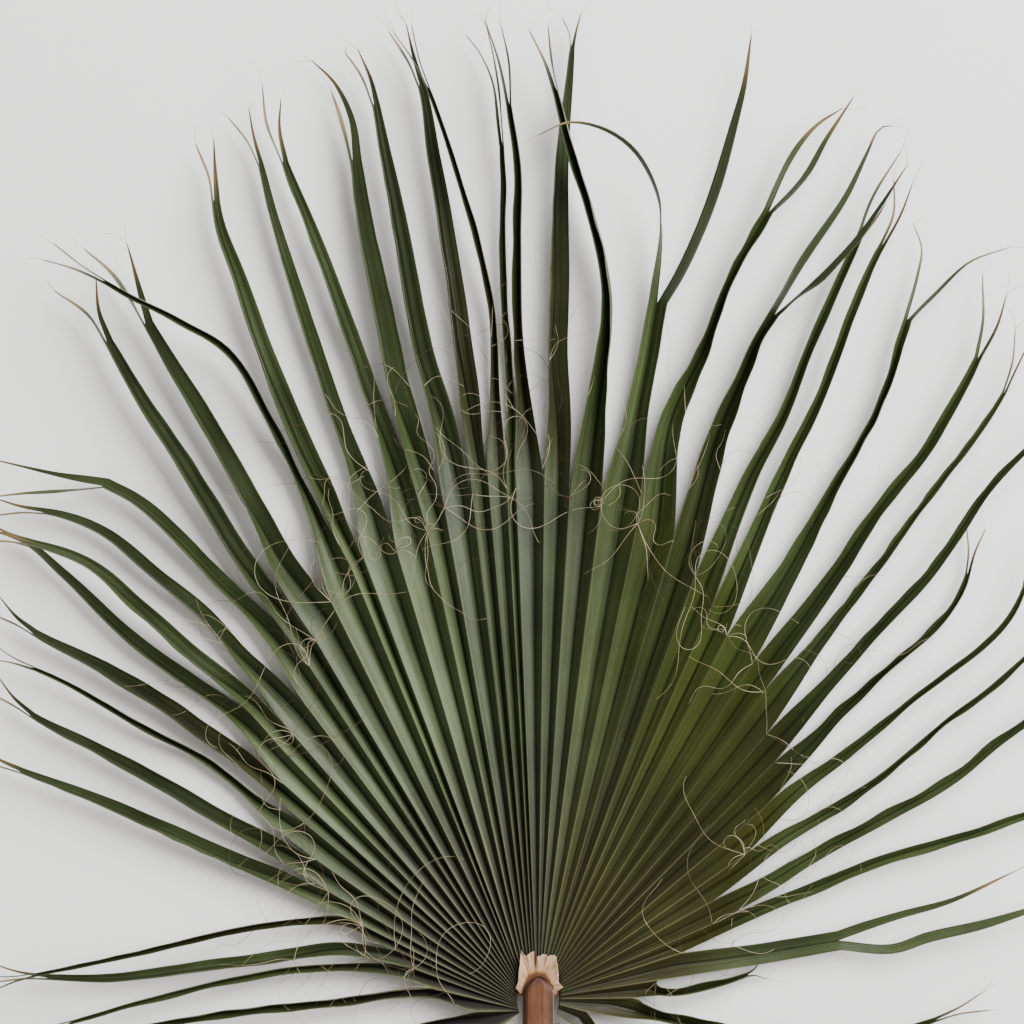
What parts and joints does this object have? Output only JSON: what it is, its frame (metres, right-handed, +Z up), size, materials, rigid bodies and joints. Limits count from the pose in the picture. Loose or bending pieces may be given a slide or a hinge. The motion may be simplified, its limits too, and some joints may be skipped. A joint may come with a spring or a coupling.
{
  "type": "fan palm leaf",
  "caption": "Cut fan palm leaf lying flat: pleated fan split into long drooping segments with forked dry tips, papery collar at the hub and a short thorny stalk",
  "frame": {"origin": "on the flat underside of the stalk, straight below the point where the pleats meet", "axes": "+X across the fan to the right seen from above, +Y from the stalk towards the longest tips, +Z up out of the leaf's upper side"},
  "size_m": [1.1862, 1.2467, 0.0864],
  "materials": {
    "leaf_blade": "satin, veined along the segments, grey green to olive with tan tips",
    "leaf_stalk": "satin, reddish brown with dark edges",
    "leaf_collar": "matte, cream, fibrous with a ragged edge"
  },
  "bodies": {
    "root": {"blade": "leaf_blade", "petiole": "leaf_stalk", "hastula": "leaf_collar"}
  },
  "joints": []
}
